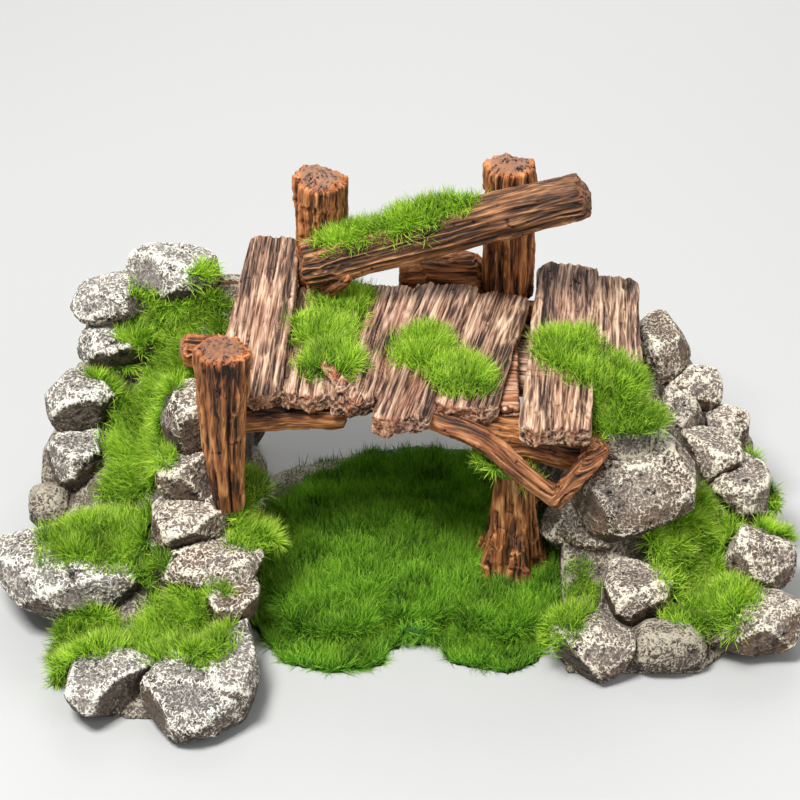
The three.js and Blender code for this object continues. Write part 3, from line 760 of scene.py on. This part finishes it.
def moss_bed(node):
    """The pad's own surface drawn in, to leave room for its fibres."""
    bed = dense_mesh(node, PAD_VOXEL, 4)
    normals = normals_of(bed)
    points = points_of(bed) - PAD_INSET * normals * (normals[:, 2] > -0.2)[:, None]
    points[points[:, 2] < GROUND_REACH, 2] = 0
    set_points(bed, points)
    return bed


def sow_around(tree, anchors, chooser, reach):
    """Places on the hard solids near the anchors but outside their plan, and the normals there."""
    flat = KDTree(len(anchors))
    full = KDTree(len(anchors))
    for number, (x, y, z) in enumerate(anchors):
        flat.insert((x, y, 0), number)
        full.insert((x, y, z), number)
    flat.balance()
    full.balance()
    low, high = anchors.min(axis=0) - reach, anchors.max(axis=0) + reach
    tries = int((high - low)[0] * (high - low)[1] * FIBRES_PER_MM2 * SPILL_DENSITY)
    spots = low[:2] + chooser.random((tries, 2)) * (high - low)[:2]
    limits = reach * chooser.random(tries)
    places, facings = [], []
    for (x, y), limit in zip(spots, limits):
        if flat.find((x, y, 0))[2] < 0.3:
            continue
        place, facing, _, _ = tree.ray_cast(Vector((x, y, high[2])), DOWN)
        if place is not None and facing.z > 0.1 and full.find(place)[2] < limit:
            places.append(place)
            facings.append(facing)
    return np.array(places).reshape(-1, 3), np.array(facings).reshape(-1, 3)


def grown_fibres(place, normal, tree, salt, chooser):
    """Fibres that stand in free air: their places, directions, lengths and tones."""
    clump = np.stack([noise(place, 3.4, salt + k) for k in range(3)], axis=1)
    stray = chooser.normal(size=place.shape)
    direction = unit(normal + np.array([0, 0, 0.35]) + 0.9 * clump + 0.6 * stray)
    free = clear_of(tree, place + 0.2 * normal, direction, 0.6 * FIBRE_LENGTH)
    place, direction = place[free], direction[free]
    lengths = 1 + 0.34 * noise(place, 4.0, salt + 5) + chooser.uniform(-0.35, 0.25, len(place))
    lengths = FIBRE_LENGTH * lengths
    tones = 0.5 + 0.55 * fractal(place, 5.0, salt + 9) + 0.3 * chooser.normal(size=len(place))
    return place, direction, lengths, np.clip(tones, 0.02, 0.98)


def bed_arrays(bed):
    """A moss bed's corners and triangles, with the tone and the low height that colour it dark as
    painted shade beneath the fibres.
    """
    bed.calc_loop_triangles()
    faces = np.empty(len(bed.loop_triangles) * 3, np.int32)
    bed.loop_triangles.foreach_get("vertices", faces)
    points = points_of(bed)
    # Height 0.12 gives the bed the dark root colour: painted shade.
    return points, faces.reshape(-1, 3), np.full(len(points), 0.5), np.full(len(points), 0.12)


def moss_piece(name, node, parts, material):
    """One mesh of its parts, with the tone and the height of each corner as its UV coordinates."""
    starts = np.cumsum([0] + [len(part[0]) for part in parts])
    points = np.concatenate([part[0] for part in parts])
    faces = np.concatenate([part[1] + start for part, start in zip(parts, starts)])
    shades = np.stack([np.concatenate([part[k] for part in parts]) for k in (2, 3)], axis=1)
    mesh = mesh_from(name, points, faces)
    layer = mesh.uv_layers.new(name="OFBake")
    layer.uv.foreach_set("vector", shades[faces.ravel()].astype(np.float32).ravel())
    finish_piece(mesh, node, material, name)


def moss_surface(node, tree, material):
    """A pad of standing flock: a bed coloured dark as painted shade beneath thousands of fibres, in
    pieces of a workable size.
    """
    salt = salt_of(node)
    chooser = np.random.default_rng(salt)
    bed = moss_bed(node)
    place, normal = seed_points(bed, FIBRES_PER_MM2, chooser)
    around, facing = sow_around(tree, place[::4], chooser, SPILL)
    place, normal = np.concatenate([place, around]), np.concatenate([normal, facing])
    place, direction, lengths, tones = grown_fibres(place, normal, tree, salt, chooser)
    order = np.argsort(place[:, 0])
    for number, share in enumerate(np.array_split(order, math.ceil(len(order) / FIBRES_PER_PIECE))):
        blades = fibre_mesh(place[share], direction[share], lengths[share], tones[share], chooser)
        name = node if number == 0 else f"{node}_{number + 1}"
        moss_piece(name, node, [blades] if number else [bed_arrays(bed), blades], material)


def moss_tuft(host, spot, tree, material):
    """A few fibres that took root away from the pads, on top of one solid."""
    *shares, radius = spot
    salt = salt_of(host)
    chooser = np.random.default_rng(salt)
    low, high = (np.array(corner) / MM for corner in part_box(host))
    x, y, z = low + (high - low) * np.array(shares)
    count = int(math.pi * radius**2 * FIBRES_PER_MM2)
    turn = chooser.random(count) * 2 * math.pi
    away = radius * np.sqrt(chooser.random(count))
    away *= 1 + 0.3 * np.sin(3 * turn + salt)
    starts = [Vector((x + r * math.cos(a), y + r * math.sin(a), z + 1)) for a, r in zip(turn, away)]
    hits = [tree.ray_cast(start, DOWN)[:2] for start in starts]
    hits = [(place, facing) for place, facing in hits if place is not None and place.z > low[2]]
    place, normal = (np.array([hit[k] for hit in hits]) for k in (0, 1))
    fibres = grown_fibres(place, normal, tree, salt, chooser)
    moss_piece(f"tuft_{host}", None, [fibre_mesh(*fibres, chooser)], material)


# ---- The ornament ----

MOSS_NODES = [node for node in sorted(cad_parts) if node.startswith("moss_")]
HARD_NODES = [node for node in sorted(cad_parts) if node not in MOSS_NODES]


def names(*parts):
    return [node for node in HARD_NODES if any(part in node for part in parts)]


def build_stones():
    """The outer stones of the left abutment are greyer than the others."""
    grey = names("left_stone_0")
    for node in names("left_stone", "right_stone"):
        material = GREY_STONE if node in grey else WARM_STONE
        stone_surface(node, STONE_VOXEL, material)
    for node in names("_core"):
        # The cores take the darker stone, as painted shade between the stones.
        stone_surface(node, CORE_VOXEL, SHADED_FILL_STONE, flats=0, swell=CORE_SWELL, smoothing=1)
    stone_surface("base_slab", SLAB_VOXEL, SHADED_FILL_STONE, flats=0, swell=0.0)


def build_timber():
    for node in names("plank", "under_deck"):
        wood_surface(node, DECK_WOOD, "deck_wood", **PLANK)
    for node in names("_beam", "_post", "handrail", "root_leg"):
        slim = POST_SLIM if node == "front_left_post" else 0.0
        # The handrail takes the darker copy of the log wood, as painted shade.
        material = SHADED_RAIL_WOOD if node == "handrail_log" else LOG_WOOD
        wood_surface(node, material, "log_wood", **LOG, slim=slim)
    for node in ("curved_branch", "rail_twig"):
        wood_surface(node, SPLIT_WOOD, "split_wood", **TWIG)


def build_moss():
    tree = solids_tree(HARD_NODES)
    for node in MOSS_NODES:
        # The floor pad gets the darker copy of the moss, as painted shade.
        moss_surface(node, tree, PAINTED_SHADE_MOSS if node == "moss_floor" else BRIGHT_MOSS)
    for host, spot in TUFTS.items():
        moss_tuft(host, spot, tree, BRIGHT_MOSS)


# ---- Stage, light and camera ----

def stage_floor():
    """A plain pale floor."""
    bpy.ops.mesh.primitive_plane_add(size=FLOOR_SIZE, location=(0, 0, -FLOOR_DROP))
    floor = bpy.context.object
    floor.name = "floor"
    shader = Shader("pale_floor")
    floor.data.materials.append(shader.finish(linear(196, 196, 194), 0.7))


def aimed(name, data, place, aim):
    """A light or a camera in the scene, turned towards a point."""
    made = bpy.data.objects.new(name, data)
    made.location = place
    made.rotation_euler = (Vector(aim) - Vector(place)).to_track_quat("-Z", "Y").to_euler()
    bpy.context.scene.collection.objects.link(made)
    return made


def light_up(middle):
    """A pale world and three soft lights."""
    world = bpy.data.worlds.new("studio")
    bpy.context.scene.world = world
    world.use_nodes = True
    background = world.node_tree.nodes["Background"]
    background.inputs[0].default_value = WORLD_COLOUR
    background.inputs[1].default_value = WORLD_STRENGTH
    for name, (place, size, power) in LIGHTS.items():
        data = bpy.data.lights.new(name, "AREA")
        data.size = size
        data.energy = power
        aimed(name, data, place, middle)
    bpy.context.scene.view_settings.view_transform = "Standard"


def place_camera(middle):
    data = bpy.data.cameras.new("camera")
    data.lens = CAMERA_LENS
    data.sensor_width = 36.0
    across, along, height = CAMERA_AIM
    aim = Vector((middle.x + across, middle.y + along, height))
    away = Vector((0, -math.cos(CAMERA_ELEVATION), math.sin(CAMERA_ELEVATION)))
    bpy.context.scene.camera = aimed("camera", data, aim + CAMERA_DISTANCE * away, aim)


low, high = (Vector(corner) for corner in CAD_BOX)
place_camera((low + high) / 2)
light_up((low + high) / 2)
stage_floor()
build_stones()
build_timber()
build_moss()
